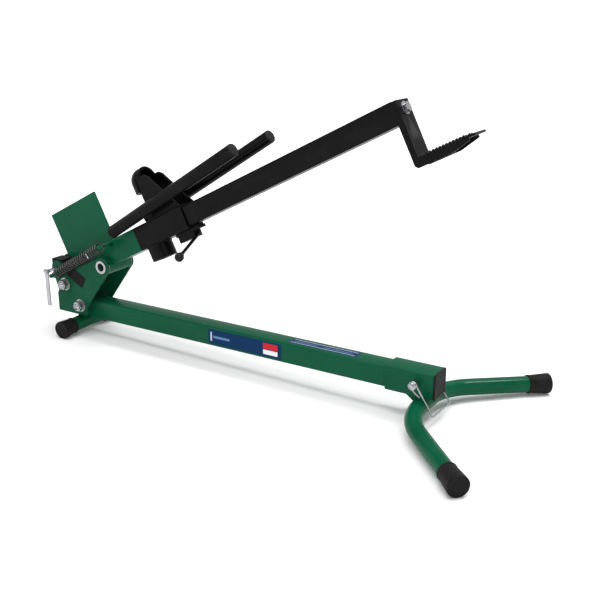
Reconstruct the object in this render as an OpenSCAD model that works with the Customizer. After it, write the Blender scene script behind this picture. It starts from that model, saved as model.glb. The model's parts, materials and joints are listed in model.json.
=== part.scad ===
// Foot-operated bead breaker with a pivoting arm, a sliding claw and splayed legs.
// Right-handed frame: X runs along the base tube towards the pedal, Z is up.
// The origin is on the floor, at the middle of the whole object's box.

/* [Base] */
// Side of the square base tube
tube_w = 50; // [42:1:60]
// Wall of the square tubes
tube_wall = 3; // [2:0.5:4]
// Outer corner radius of the square tubes
tube_corner = 4; // [3.5:0.5:6]
// From the pivot back to the rear end of the base tube
base_rear = 164; // [150:1:200]
// From the pivot forward to the front end of the sleeve
base_front = 919; // [770:1:1110]
// Length of the front sleeve
sleeve_len = 114; // [100:1:140]
// Wall of the front sleeve
sleeve_wall = 3.7; // [2.5:0.1:5]
// Clearance of the front sleeve on the base tube, each side
sleeve_gap = 0.3; // [0.1:0.1:1]
// Thickness of the plastic end caps
cap_t = 5; // [3:0.5:8]
// Depth of the end caps' inner lip
cap_lip = 12; // [8:1:20]

/* [Legs] */
// Outer diameter of the front leg tube
leg_d = 38; // [32:0.5:44]
// Wall of the leg tubes
leg_wall = 2.5; // [1.5:0.5:4]
// Half of the front stance, from the middle to the centre of a foot's end
stance = 275; // [230:1:330]
// Bend radius of the front legs
leg_bend_r = 150; // [120:1:180]
// Angle that the front legs turn forward
leg_turn = 46; // [35:1:55]
// Downward slope of the front legs
leg_dip = 3.8; // [2:0.1:6]
// Half of the straight part of the front legs under the sleeve
leg_mid = 30; // [20:1:40]
// From the sleeve's front end back to the front leg's axis
leg_setback = 28; // [20:1:40]
// Outer diameter of the rear leg tube
rear_leg_d = 38; // [30:0.5:44]
// Slope length of a rear leg, from the middle to its foot's end
rear_leg_len = 100; // [84:1:120]
// Downward slope of the rear legs
rear_leg_dip = 2.5; // [1:0.1:6]
// From the pivot back to the rear leg's axis
rear_leg_x = 112; // [96:1:124]
// Wall of the rubber feet at their closed end
foot_wall = 4.5; // [3:0.1:7]
// Wall of the rubber feet at their mouth
foot_mouth = 1.6; // [1:0.1:2.8]
// Thickness of the closed end of the rubber feet
foot_end = 6; // [3:1:10]
// Length of the front rubber feet
foot_len = 55; // [40:1:70]
// Length of the rear rubber feet
rear_foot_len = 44; // [30:1:56]

/* [Tower] */
// Thickness of the cheek plates
cheek_t = 6; // [4:0.5:8]
// Clear width between the cheek plates
cheek_gap = 84; // [74:0.5:96]
// Height of the pivot above the base tube's axis
pivot_rise = 131; // [120:0.5:150]
// Outer diameter of the pivot bush
bush_d = 34; // [28:1:38]
// Bore of the pivot bush
bush_bore = 21; // [14:0.5:24]
// How far the bush stands out of each cheek
bush_proud = 3; // [1:0.5:6]
// Radius of the cheeks round the pivot
boss_r = 24; // [22.5:0.5:30]
// Radial running clearance of the turning and sliding pins
run_fit = 0.05; // [0.02:0.01:0.1]
// Width of the open notch in the cheeks
notch_w = 33; // [24:1:36]
// Angle of the notch above the horizontal
notch_tilt = 28; // [20:1:32]
// Depth of the rubber block in the notch
notch_pad = 60; // [20:1:64]
// Diameter of the tower bolts
bolt_d = 16; // [12:1:18]
// Clearance of the bolts in their holes, on the diameter
bolt_gap = 0.6; // [0.3:0.1:1]

/* [Arm] */
// Side of the square arm tube
arm_w = 50; // [42:1:56]
// Tilt of the raised arm
arm_tilt = 26.7; // [22:0.1:29]
// From the pivot to the end of the arm tube
arm_len = 914; // [770:1:1110]
// Height of the arm's axis over the pivot
arm_rise = 24.9; // [20:0.1:28]
// Wall of the stub tube
stub_wall = 5; // [3:0.5:6]
// From the pivot to the front end of the stub tube
stub_front = 137; // [115:1:165]
// From the pivot to the rear end of the stub tube
stub_rear = 52; // [28:1:56]
// Thickness of the fin plate
fin_t = 6; // [4:0.5:8]
// Length of the fin plate
fin_len = 183; // [160:1:220]
// Height of the fin plate
fin_h = 133.5; // [110:0.5:160]
// From the pivot to the fin plate's front edge
fin_front = 35; // [25:1:45]

/* [Pedal] */
// Sheet thickness of the pedal bracket
pedal_t = 5; // [3:0.5:6]
// How far the pedal bracket's flanges lap the arm tube's end, each side
flange_lap = 1.5; // [0.5:0.5:3]
// Length of the tread, from the arm's end
tread_len = 141; // [120:1:180]
// How far the bracket's lowest edge lies below the arm's axis
tread_drop = 118; // [100:1:121]
// Depth of the bracket's side flanges
flange_w = 14; // [10:1:20]
// Depth of the tread's side skirts at the upright
skirt_h = 20; // [14:1:28]
// Height of the anti-slip teeth
tooth_h = 4.5; // [2:0.5:6]
// Number of anti-slip teeth in a row
tooth_count = 12; // [6:1:12]
// Height of the pedal bolt above the arm's axis
pedal_bolt_z = 4; // [0:0.5:8]

/* [Slider] */
// Length of the slider sleeve
slider_len = 170; // [150:1:200]
// Wall of the slider sleeve
slider_wall = 4.7; // [2.5:0.1:5]
// Clearance of the slider on the arm, each side
slide_gap = 0.3; // [0.2:0.05:0.6]
// Thickness of the ears
ear_t = 6; // [4:0.5:8]
// Height of the ears above the slider sleeve
ear_h = 104; // [90:1:125]
// Outer radius of the domed claw hood
hood_r = 32; // [30:0.5:36]
// Wall of the claw hood
hood_wall = 6; // [4:0.5:8]
// Height of the claw hood's lip above the slider sleeve
lip_h = 69; // [50:1:80]
// Diameter of the side rods
rod_d = 31; // [22:1:34]
// Wall of the side rods
rod_wall = 3; // [2:0.5:4]
// From the middle plane to the side rods' axes
rod_y = 50; // [48:0.5:56]
// Length of the side rods
rod_len = 445; // [380:1:540]
// How far the far side rod sits ahead of the near one
rod_stagger = 38; // [0:1:45]
// Slope of the side rods to the arm
rod_slope = 5.2; // [3:0.1:7]
// Outer diameter of the socket under the slider
socket_d = 64; // [58:1:70]
// Bore of the socket
socket_bore = 50; // [40:1:54]
// Depth of the socket
socket_len = 38; // [30:1:44]
// Thickness of the clamp plate
clamp_t = 8; // [5:0.5:10]
// Diameter of the clamp lever's shaft
shaft_d = 10; // [8:0.5:12]
// Diameter of the clamp lever's handle rod
lever_d = 8; // [6:0.5:8]
// Length of the clamp lever's handle rod
lever_len = 112; // [90:1:130]
// Diameter of the lever's knob
knob_d = 22; // [18:1:28]

/* [Pins and spring] */
// Diameter of the front lock pin
lock_d = 12; // [10:0.5:14]
// Diameter of the bail wire
bail_wire = 5; // [4:0.5:6]
// Reach of the bail from the lock pin's axis
bail_reach = 79; // [74:1:88]
// Half width of the bail, to the wire's axis
bail_half = 46.5; // [44:0.5:50]
// Diameter of the hitch pin
hitch_d = 9; // [8:0.5:11]
// Length of the hitch pin's hanging handle
handle_len = 94; // [70:1:110]
// Width of the hitch pin's handle
handle_w = 12.5; // [11:0.5:16]
// Diameter of the spring posts
post_d = 10; // [8:0.5:12]
// Diameter of the spring wire
spring_wire = 3; // [2:0.25:3.5]
// Mean diameter of the return spring's coil
coil_d = 22; // [18:1:24]
// Number of turns of the return spring
coil_turns = 18; // [10:1:22]

/* [Hidden] */
$fn = 48;

paint_green = [0.06, 0.28, 0.19];
paint_black = [0.08, 0.08, 0.085];
zinc = [0.74, 0.75, 0.77];
rubber_black = [0.04, 0.04, 0.04];

slack = 0.3;          // air between faces that pass or rest on each other
past = 1;             // how far a cutting solid runs past the face it cuts

// Base, sleeve and legs, measured from the base tube's axis.
tube_half = tube_w / 2;
sleeve_in = tube_w + 2 * sleeve_gap;
sleeve_w = sleeve_in + 2 * sleeve_wall;
sleeve_floor = -tube_half - sleeve_wall;
leg_r = leg_d / 2;
leg_x = base_front - leg_setback;
leg_z = sleeve_floor - leg_r;
leg_straight = ((stance - leg_mid) / cos(leg_dip) - leg_bend_r * sin(leg_turn)) / cos(leg_turn);
leg_end_x = leg_x + leg_bend_r * (1 - cos(leg_turn)) + leg_straight * sin(leg_turn);
leg_end_z = leg_z - (stance - leg_mid) * tan(leg_dip);
foot_r = leg_r + foot_wall;
foot_rise = foot_r * sqrt(1 - pow(cos(leg_turn) * sin(leg_dip), 2));
rear_leg_r = rear_leg_d / 2;
rear_foot_r = rear_leg_r + foot_wall;
weld_flat = 0.6;
rear_leg_z = weld_flat - tube_half - rear_leg_r / cos(rear_leg_dip);
rear_end_z = rear_leg_z - rear_leg_len * sin(rear_leg_dip);
gusset_len = 42;
leg_core_over = 5;      // the middle tube runs this far into its mitre cuts
tube_stop = 12;         // air between the base tube's end and the front cap's lip
gusset_t = 6;

// The front feet reach lower than the rear ones, so the base stands a little nose-up.
front_low = leg_end_z - foot_rise;
rear_low = rear_end_z - rear_foot_r * cos(rear_leg_dip);
stand_tilt = atan((rear_low - front_low) / (leg_end_x + rear_leg_x));
base_z = -(leg_end_x * sin(stand_tilt) + front_low * cos(stand_tilt));

// The whole object's box sets the origin: feet in front, the fin plate's corner behind.
fin_top = arm_rise + arm_w / 2 + stub_wall + fin_h;
fin_back = fin_front - fin_len;
fin_tilt = arm_tilt + stand_tilt;
x_back = fin_back * cos(fin_tilt) - fin_top * sin(fin_tilt) - pivot_rise * sin(stand_tilt);
x_front = leg_end_x * cos(stand_tilt) - leg_end_z * sin(stand_tilt) + foot_r * cos(leg_turn);
base_x = -(x_back + x_front) / 2;

// Tower, measured from the pivot.
cheek_in = cheek_gap / 2;
cheek_out = cheek_in + cheek_t;
bush_half = cheek_out + bush_proud;
washer_t = 1;
barrel_r = bush_d / 2 + 5;
notch_end = [-68, -55];
hitch_at = [-163, -27];
hitch_lobe = 20;
post_at = [-160, -42];
bolt_upper = [-135, -66];
bolt_lower = [-84, 13.5 - pivot_rise];
cheek_foot = -14 - pivot_rise;
cheek_heel = -base_rear - 4.6;
bolt_points = [bolt_upper, bolt_lower];
nut_af = 1.5 * bolt_d;
nut_h = 0.8 * bolt_d;
big_washer_r = 17;
big_washer_t = 3;
spacer_r = bolt_d / 2 + 5;
lower_spacer_r = spacer_r - 1.6;
post_len = 28;
heel_size = [37, cheek_gap, 36];
heel_at = [-187, -40];

// Arm and slider, measured from the pivot along the arm and from the arm's axis.
arm_half = arm_w / 2;
stub_w = arm_w + 2 * stub_wall;
stub_half = stub_w / 2;
arm_in = arm_w - 2 * tube_wall;
post_up = [48, 20];
slider_in = arm_w + 2 * slide_gap;
slider_w = slider_in + 2 * slider_wall;
slider_half = slider_w / 2;
slider_back = stub_front + slack;
slider_front = slider_back + slider_len;
hood_x = slider_back + 73;
hood_z = slider_half + ear_h - 8;
rod_back = slider_back - 48;
rod_start_z = 42;
rod_r = rod_d / 2;
saddle_h = 18;
socket_x = slider_back + 38;
shaft_r = shaft_d / 2;
block_h = 2 * shaft_r + 6;
clamp_w = 28;
shaft_z = -slider_half - clamp_t - block_h / 2;
clamp_back = slider_front - 56;
lever_x = slider_front + 5;
lever_dip = 21.4;
pin_x = slider_front - 26;
pin_r = 4;

// Lock pin and bail, measured from the pivot and the base tube's axis.
lock_at = [base_front - 39, 4];
bail_rest = 1.5;      // air between the hanging bail and the leg
leg_at_bail = [leg_x + leg_bend_r * (1 - cos(asin((bail_half - leg_mid) / leg_bend_r))) - lock_at.x,
    leg_z - (bail_half - leg_mid) * tan(leg_dip) - lock_at.y];
bail_lean = atan2(-leg_at_bail.y, leg_at_bail.x)
    - asin((leg_r / cos(leg_dip) + bail_wire / 2 + bail_rest) / norm(leg_at_bail));

function unit(v) = v / norm(v);
function turn(v, a) = [v.x * cos(a) - v.y * sin(a), v.x * sin(a) + v.y * cos(a)];
// Point where a line from p touches the circle c, r; side is 1 or -1.
function tangent(p, c, r, side) =
    p + turn(unit(c - p), side * asin(r / norm(c - p))) * sqrt(pow(norm(c - p), 2) - r * r);

// ---- places ----
module at_base() translate([base_x, 0, base_z]) rotate([0, -stand_tilt, 0]) children();
module at_pivot() at_base() translate([0, 0, pivot_rise]) children();
module on_arm() at_pivot() rotate([0, -arm_tilt, 0]) translate([0, 0, arm_rise]) children();
module on_far_side() mirror([0, 1, 0]) children();

// ---- shapes ----
module rounded_square(w, r) {
    square([w, w - 2 * r], center = true);
    square([w - 2 * r, w], center = true);
    for (sx = [-1, 1], sy = [-1, 1])
        translate([sx * (w / 2 - r), sy * (w / 2 - r)]) circle(r);
}
// Extrudes a YZ outline along X, from x0 to x1.
module along_x(x0, x1)
    translate([x0, 0, 0]) rotate([90, 0, 90]) linear_extrude(x1 - x0) children();
// Extrudes an XZ outline along Y, from y0 to y1.
module along_y(y0, y1)
    translate([0, y1, 0]) rotate([90, 0, 0]) linear_extrude(y1 - y0) children();
module square_tube(w, wall, x0, x1, inner_r = 1)
    along_x(x0, x1) difference() {
        rounded_square(w, tube_corner);
        rounded_square(w - 2 * wall, inner_r);
    }
module rod_y(r, y0, y1) translate([0, y1, 0]) rotate([90, 0, 0]) cylinder(r = r, h = y1 - y0);
// Round bar along Y whose radius goes from r0 at y0 to r1 at y1.
module cone_y(r0, r1, y0, y1)
    translate([0, y1, 0]) rotate([90, 0, 0]) cylinder(r1 = r1, r2 = r0, h = y1 - y0);
module rod_x(r, x0, x1) translate([x0, 0, 0]) rotate([0, 90, 0]) cylinder(r = r, h = x1 - x0);
module ring_y(r, bore, y0, y1) difference() {
    rod_y(r, y0, y1);
    rod_y(bore, y0 - past, y1 + past);
}
module hex_y(af, y0, y1)
    translate([0, y1, 0]) rotate([90, 0, 0]) cylinder(r = af / sqrt(3), h = y1 - y0, $fn = 6);
// A straight wire between two points, with a round end at each.
module wire(p, q, r) {
    d = q - p;
    translate(p) rotate([0, acos(d.z / norm(d)), atan2(d.y, d.x)]) cylinder(r = r, h = norm(d));
    translate(p) sphere(r);
    translate(q) sphere(r);
}

// ---- base ----
module base_tube() color(paint_green) at_base() difference() {
    square_tube(tube_w, tube_wall, -base_rear, base_front - cap_lip - tube_stop);
    translate([bolt_lower.x, 0, bolt_lower.y + pivot_rise])
        rod_y((bolt_d + bolt_gap) / 2, -tube_w, tube_w);
    translate([lock_at.x, 0, lock_at.y]) rod_y(lock_d / 2 + run_fit, -tube_w, tube_w);
}
// The sleeve's floor carries the base tube, so its cavity stands sleeve_gap above it.
module front_sleeve() color(paint_green) at_base() difference() {
    translate([0, 0, sleeve_gap])
        along_x(base_front - sleeve_len, base_front) difference() {
            rounded_square(sleeve_w, tube_corner);
            rounded_square(sleeve_in, tube_corner - 1);
        }
    translate([lock_at.x, 0, lock_at.y]) rod_y(lock_d / 2 + run_fit, -sleeve_w, sleeve_w);
}
module front_end_cap() color(rubber_black) at_base() translate([0, 0, sleeve_gap]) {
    along_x(base_front, base_front + cap_t) rounded_square(sleeve_w, tube_corner);
    along_x(base_front - cap_lip, base_front) difference() {
        rounded_square(sleeve_in, tube_corner - 1);
        rounded_square(sleeve_in - 6, tube_corner - 2);
    }
}
module rear_end_cap() color(rubber_black) at_base() {
    along_x(-base_rear - cap_t + 1, -base_rear) rounded_square(tube_w, tube_corner);
    along_x(-base_rear, cap_lip - base_rear) difference() {
        rounded_square(tube_w - 2 * tube_wall, 1);
        rounded_square(tube_w - 2 * tube_wall - 6, 1);
    }
}
module front_gusset() color(paint_green) at_base() difference() {
    along_y(-gusset_t / 2, gusset_t / 2) polygon([
        [leg_x - leg_r - gusset_len, sleeve_floor], [leg_x, sleeve_floor],
        [leg_x, leg_z], [leg_x - leg_r - 8, leg_z - 6]]);
    translate([leg_x, 0, leg_z]) rod_y(leg_r, -leg_mid, leg_mid);
}

// ---- legs ----
// The bend starts at the end of the straight middle, and the slope with it.
module leg_place() translate([leg_x, -leg_mid, leg_z]) rotate([leg_dip, 0, 0]) children();
module leg_run()
    translate([leg_bend_r * (1 - cos(leg_turn)), -leg_bend_r * sin(leg_turn), 0])
        rotate([0, 0, leg_turn]) children();
module leg_core_solid(bore) translate([leg_x, 0, leg_z])
    ring_y(leg_r, bore, -leg_mid - leg_core_over, leg_mid + leg_core_over);
module front_leg_core() color(paint_green) at_base() difference() {
    leg_core_solid(leg_r - leg_wall);
    leg_place() translate([-leg_d, -leg_d, -leg_d]) cube([2 * leg_d, leg_d, 2 * leg_d]);
    on_far_side() leg_place() translate([-leg_d, -leg_d, -leg_d])
        cube([2 * leg_d, leg_d, 2 * leg_d]);
}
module front_bend() color(paint_green) at_base() leg_place()
    translate([leg_bend_r, 0, 0]) rotate([0, 0, 180])
        rotate_extrude(angle = leg_turn) translate([leg_bend_r, 0]) difference() {
            circle(leg_r);
            circle(leg_r - leg_wall);
        }
module front_leg() color(paint_green) at_base() leg_place() leg_run()
    ring_y(leg_r, leg_r - leg_wall, foot_end - leg_straight, 0);
module front_foot() color(rubber_black) at_base() leg_place() leg_run() difference() {
    cone_y(foot_r, leg_r + foot_mouth, -leg_straight, foot_len - leg_straight);
    rod_y(leg_r, foot_end - leg_straight, foot_len + past - leg_straight);
}
module front_bend_near() front_bend();
module front_bend_far() on_far_side() front_bend();
module front_leg_near() front_leg();
module front_leg_far() on_far_side() front_leg();
module front_foot_near() front_foot();
module front_foot_far() on_far_side() front_foot();

module rear_place() translate([-rear_leg_x, 0, rear_leg_z]) rotate([rear_leg_dip, 0, 0]) children();
// Near rear leg, cut at the middle plane and under the base tube.
module rear_leg_path(r, end) intersection() {
    rear_place() rod_y(r, end - rear_leg_len, rear_leg_d);
    translate([-rear_leg_x - rear_leg_d, -2 * rear_leg_len, -tube_half - 4 * rear_leg_d])
        cube([2 * rear_leg_d, 2 * rear_leg_len, 4 * rear_leg_d]);
}
module rear_leg() color(paint_green) at_base() difference() {
    rear_leg_path(rear_leg_r, foot_end);
    rear_place() rod_y(rear_leg_r - leg_wall, -2 * rear_leg_len, 2 * rear_leg_d);
}
module rear_foot() color(rubber_black) at_base() rear_place() difference() {
    cone_y(rear_foot_r, rear_leg_r + foot_mouth, -rear_leg_len, rear_foot_len - rear_leg_len);
    rod_y(rear_leg_r, foot_end - rear_leg_len, rear_foot_len + past - rear_leg_len);
}
module rear_leg_near() rear_leg();
module rear_leg_far() on_far_side() rear_leg();
module rear_foot_near() rear_foot();
module rear_foot_far() on_far_side() rear_foot();

// ---- tower ----
notch_dir = turn([1, 0], 180 - notch_tilt);
notch_side = turn(notch_dir, 90);
notch_low = notch_end + notch_side * notch_w / 2;
notch_high = notch_end - notch_side * notch_w / 2;
notch_lip = notch_high + notch_dir * 45;
notch_horn = notch_low + notch_dir * 61;
cheek_toe = [-70, cheek_foot];
cheek_hip = [-61, cheek_foot + 27];

module cheek_outline() difference() {
    union() {
        polygon([
            [cheek_heel, cheek_foot], cheek_toe, cheek_hip,
            tangent(cheek_hip, [0, 0], boss_r, -1), [0, 0],
            tangent(notch_lip, [0, 0], boss_r, 1),
            notch_lip, notch_high, notch_low, notch_horn,
            tangent(notch_horn, hitch_at, hitch_lobe, -1), hitch_at,
            hitch_at + [-hitch_lobe, 0],
            [cheek_heel + 5, cheek_foot + 57.5], [cheek_heel, cheek_foot + 49]]);
        circle(boss_r);
        translate(hitch_at) circle(hitch_lobe);
    }
    circle(bush_d / 2);
    for (p = bolt_points) translate(p) circle((bolt_d + bolt_gap) / 2);
    translate(hitch_at) circle(hitch_d / 2 + run_fit);
}
module cheek_near() color(paint_green) at_pivot() along_y(-cheek_out, -cheek_in) cheek_outline();
module cheek_far() color(paint_green) at_pivot() along_y(cheek_in, cheek_out) cheek_outline();
module pivot_bush() color(zinc) at_pivot() ring_y(bush_d / 2, bush_bore / 2, -bush_half, bush_half);
module thrust_washers() color(zinc) at_pivot() for (y0 = [-cheek_in, cheek_in - washer_t])
    ring_y(barrel_r + 1, bush_d / 2 + slack, y0, y0 + washer_t);
module at_bolts() at_pivot() for (p = bolt_points) translate([p.x, 0, p.y]) children();
module tower_bolts() color(zinc) at_bolts() {
    rod_y(bolt_d / 2, -cheek_out - big_washer_t - nut_h - 5, cheek_out + big_washer_t);
    hex_y(nut_af, cheek_out + big_washer_t, cheek_out + big_washer_t + 0.65 * bolt_d);
}
module tower_nuts() color(zinc) at_bolts() difference() {
    hex_y(nut_af, -cheek_out - big_washer_t - nut_h, -cheek_out - big_washer_t);
    rod_y(bolt_d / 2, -2 * cheek_out, 0);
}
module tower_washers() color(zinc) at_bolts() for (y0 = [-cheek_out - big_washer_t, cheek_out])
    ring_y(big_washer_r, (bolt_d + bolt_gap) / 2, y0, y0 + big_washer_t);
// One long spacer on the upper bolt; one each side of the base tube on the lower bolt.
module tower_spacers() color(zinc) at_pivot() {
    translate([bolt_upper.x, 0, bolt_upper.y])
        ring_y(spacer_r, (bolt_d + bolt_gap) / 2, -cheek_in, cheek_in);
    for (y0 = [-cheek_in, tube_half]) translate([bolt_lower.x, 0, bolt_lower.y])
        ring_y(lower_spacer_r, (bolt_d + bolt_gap) / 2, y0, y0 + cheek_in - tube_half);
}
// Rubber block with a slot that receives the lower corner of the raised fin plate.
module heel_buffer() color(rubber_black) difference() {
    at_pivot() difference() {
        translate([heel_at.x, -cheek_in, heel_at.y]) cube(heel_size);
        translate([hitch_at.x, 0, hitch_at.y]) rod_y(hitch_d / 2 + run_fit, -cheek_gap, cheek_gap);
    }
    on_arm() translate([fin_back - fin_len, -fin_t / 2 - 0.5, stub_half - slack])
        cube([2 * fin_len, fin_t + 1, fin_h]);
}
module notch_buffer() color(rubber_black) at_pivot() along_y(-cheek_out, cheek_out)
    translate(notch_end) rotate(180 - notch_tilt) translate([0, -notch_w / 2])
        square([notch_pad, notch_w]);
module spring_post_lower() color(paint_green) at_pivot() translate([post_at.x, 0, post_at.y])
    rod_y(post_d / 2, -cheek_out - post_len, -cheek_out);

// ---- labels: blank plates on the base tube ----
label_t = 0.4;
side_label_x = [322, 535];
side_label_h = 38;
top_label_x = [545, 727];
top_label_w = 28;
module side_label() color([0.13, 0.2, 0.45]) at_base()
    translate([side_label_x[0], -tube_half - label_t, -side_label_h / 2])
        cube([side_label_x[1] - side_label_x[0], label_t, side_label_h]);
module top_label() color([0.13, 0.2, 0.45]) at_base()
    translate([top_label_x[0], -top_label_w / 2, tube_half])
        cube([top_label_x[1] - top_label_x[0], top_label_w, label_t]);

// ---- lock pin and bail ----
eye_t = 5;
eye_in = bail_half - eye_t / 2;
module lock_place() at_base() translate([lock_at.x, 0, lock_at.y]) children();
module lock_pin() color(zinc) lock_place() {
    rod_y(lock_d / 2, -eye_in - eye_t, eye_in + eye_t);
    rod_y(lock_d / 2 + 3, -eye_in - eye_t - 4, -eye_in - eye_t);
    rod_y(lock_d / 2 + 2, eye_in + eye_t, eye_in + eye_t + 3);
}
module lock_bail() color(zinc) lock_place() {
    for (side = [-1, 1]) {
        y0 = side < 0 ? -eye_in - eye_t : eye_in;
        ring_y(lock_d / 2 + 5, lock_d / 2 + run_fit, y0, y0 + eye_t);
        rotate([0, bail_lean, 0])
            wire([lock_d / 2 + 3, side * bail_half, 0], [bail_reach, side * bail_half, 0],
                bail_wire / 2);
    }
    rotate([0, bail_lean, 0])
        wire([bail_reach, -bail_half, 0], [bail_reach, bail_half, 0], bail_wire / 2);
}

// ---- hitch pin and its handle ----
knuckle_r = 6;
knuckle_half = 2.5;
rivet_r = 2;
hitch_out = cheek_out + 37;
handle_t = 3;
module hitch_place() at_pivot() translate([hitch_at.x, 0, hitch_at.y]) children();
module hitch_pin() color(zinc) hitch_place() difference() {
    union() {
        rod_y(hitch_d / 2, -hitch_out, cheek_out + 7);
        translate([0, -hitch_out, 0]) rod_x(knuckle_r, -knuckle_half, knuckle_half);
    }
    for (side = [-1, 1]) translate([side * (knuckle_half + 5), -hitch_out, 0])
        cube([10, 2 * knuckle_r + 2, 3 * knuckle_r], center = true);
    translate([0, -hitch_out, 0]) rod_x(rivet_r + run_fit, -knuckle_r, knuckle_r);
}
module handle_place() hitch_place() translate([0, -hitch_out, 0]) children();
module hitch_rivet() color(zinc) handle_place() {
    rod_x(rivet_r, -handle_w / 2, handle_w / 2);
    rod_x(rivet_r + 1.5, -handle_w / 2 - 1.2, -handle_w / 2);
    rod_x(rivet_r + 1.5, handle_w / 2, handle_w / 2 + 1.2);
}
module hitch_handle() color(zinc) handle_place() {
    for (side = [-1, 1]) scale([side, 1, 1]) difference() {
        union() {
            rod_x(knuckle_r, knuckle_half + slack, handle_w / 2);
            translate([knuckle_half + slack, -handle_t / 2, -knuckle_r - 6])
                cube([handle_w / 2 - knuckle_half - slack, handle_t, knuckle_r + 6]);
        }
        rod_x(rivet_r, 0, handle_w);
    }
    translate([-handle_w / 2, -handle_t / 2, -handle_len])
        cube([handle_w, handle_t, handle_len - knuckle_r - 2]);
}

// ---- arm ----
module stub_tube() color(paint_green) difference() {
    on_arm() along_x(-stub_rear, stub_front) difference() {
        rounded_square(stub_w, tube_corner + 1);
        rounded_square(arm_w, tube_corner);
    }
    at_pivot() rod_y(barrel_r, -stub_w, stub_w);
}
module pivot_barrel() color(paint_green) at_pivot()
    ring_y(barrel_r, bush_d / 2 + run_fit, washer_t + 0.1 - cheek_in, cheek_in - washer_t - 0.1);
module arm_tube() color(paint_black) on_arm()
    square_tube(arm_w, tube_wall, barrel_r + 16, arm_len);
module fin_plate() color(paint_green) on_arm() translate([fin_back, -fin_t / 2, stub_half])
    cube([fin_len, fin_t, fin_h]);
module spring_post_upper() color(paint_green) on_arm() translate([post_up.x, 0, post_up.y])
    rod_y(post_d / 2, -cheek_out - post_len, -stub_half);
pedal_w = arm_w + 2 * (pedal_t - flange_lap);
pedal_bolt_r = 6;
pedal_bolt_gap = 0.4;
pedal_bolt_af = 19;
pedal_bolt_head = 7.5;
pedal_washer_r = 14;
pedal_washer_t = 2.5;
plug_len = 22;
web_x = arm_len + flange_w - pedal_t;
module arm_end_plug() color(paint_black) on_arm() difference() {
    union() {
        along_x(arm_len - plug_len, arm_len) rounded_square(arm_in, 1);
        along_x(arm_len, web_x) rounded_square(arm_in - 6, 3);
    }
    translate([0, 0, pedal_bolt_z]) rod_x(pedal_bolt_r, arm_len - plug_len - past, web_x + past);
}
// Bent channel: its web faces the foot, and its side flanges turn back and down.
tread_end = arm_len + tread_len;
skirt_end = tread_end - 16;
tread_z = skirt_h - tread_drop;
pedal_top = arm_half - 2;
module pedal_side() polygon([
    [arm_len, pedal_top], [arm_len, 6 - tread_drop], [arm_len + 6, -tread_drop],
    [skirt_end - 46, -tread_drop], [skirt_end, tread_z - skirt_h / 2],
    [skirt_end, tread_z], [arm_len + flange_w, tread_z], [arm_len + flange_w, pedal_top]]);
teeth_start = arm_len + flange_w + 16;
tooth_pitch = (tread_end - 20 - teeth_start) / tooth_count;
module pedal_bracket() color(paint_black) on_arm() {
    difference() {
        union() {
            along_y(-pedal_w / 2, -pedal_w / 2 + pedal_t) pedal_side();
            along_y(pedal_w / 2 - pedal_t, pedal_w / 2) pedal_side();
            translate([web_x, -pedal_w / 2, tread_z - pedal_t])
                cube([pedal_t, pedal_w, pedal_top - tread_z + pedal_t]);
            translate([web_x, -pedal_w / 2, tread_z - pedal_t])
                cube([tread_end - web_x, pedal_w, pedal_t]);
        }
        translate([0, 0, pedal_bolt_z]) rod_x(pedal_bolt_r + pedal_bolt_gap, arm_len - past, tread_end);
    }
    for (row = [-1 : 1], i = [0 : tooth_count - 1])
        translate([teeth_start + (i + (row == 0 ? 0.5 : 0)) * tooth_pitch, row * (pedal_w / 2 - 7), 0])
            along_y(-3, 3) polygon([[0, tread_z], [5, tread_z], [1.5, tread_z + tooth_h]]);
}
module pedal_washer() color(zinc) on_arm() translate([web_x + pedal_t, 0, pedal_bolt_z]) difference() {
    rod_x(pedal_washer_r, 0, pedal_washer_t);
    rod_x(pedal_bolt_r + pedal_bolt_gap, -past, pedal_washer_t + past);
}
module pedal_bolt() color(zinc) on_arm() translate([0, 0, pedal_bolt_z]) {
    rod_x(pedal_bolt_r, arm_len - plug_len, web_x + pedal_t + pedal_washer_t);
    translate([web_x + pedal_t + pedal_washer_t, 0, 0]) rotate([0, 90, 0])
        cylinder(r = pedal_bolt_af / sqrt(3), h = pedal_bolt_head, $fn = 6);
}

// ---- slider ----
module slider_sleeve() color(paint_black) on_arm() difference() {
    along_x(slider_back, slider_front) difference() {
        rounded_square(slider_w, tube_corner);
        rounded_square(slider_in, tube_corner - 1);
    }
    translate([pin_x, 0, -slider_w]) cylinder(r = pin_r + run_fit, h = slider_w);
}
module ear_outline() {
    polygon([
        [slider_back + 59, slider_half], [slider_front, slider_half],
        [slider_front - 7, slider_half + 12], [slider_front - 26, slider_half + 43],
        [slider_front - 58, slider_half + ear_h - 7],
        [slider_front - 68, slider_half + ear_h], [hood_x, slider_half + ear_h],
        [hood_x, slider_half + 37], [hood_x + 4, slider_half + 9]]);
}
module ear() along_y(slider_half - ear_t, slider_half) ear_outline();
module ear_near() color(paint_black) on_arm() on_far_side() ear();
module ear_far() color(paint_black) on_arm() ear();
// Half-round wall that faces the fin, closed above by half a dome.
hood_low = lip_h + slider_half - hood_z;
module hood_profile() {
    intersection() {
        difference() {
            circle(hood_r);
            circle(hood_r - hood_wall);
        }
        square(hood_r);
    }
    translate([hood_r - hood_wall, hood_low]) square([hood_wall, -hood_low]);
}
module claw_hood() color(paint_black) on_arm() translate([hood_x, 0, hood_z]) difference() {
    rotate_extrude() hood_profile();
    translate([0, -4 * hood_r, -4 * hood_r]) cube(8 * hood_r);
}
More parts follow.
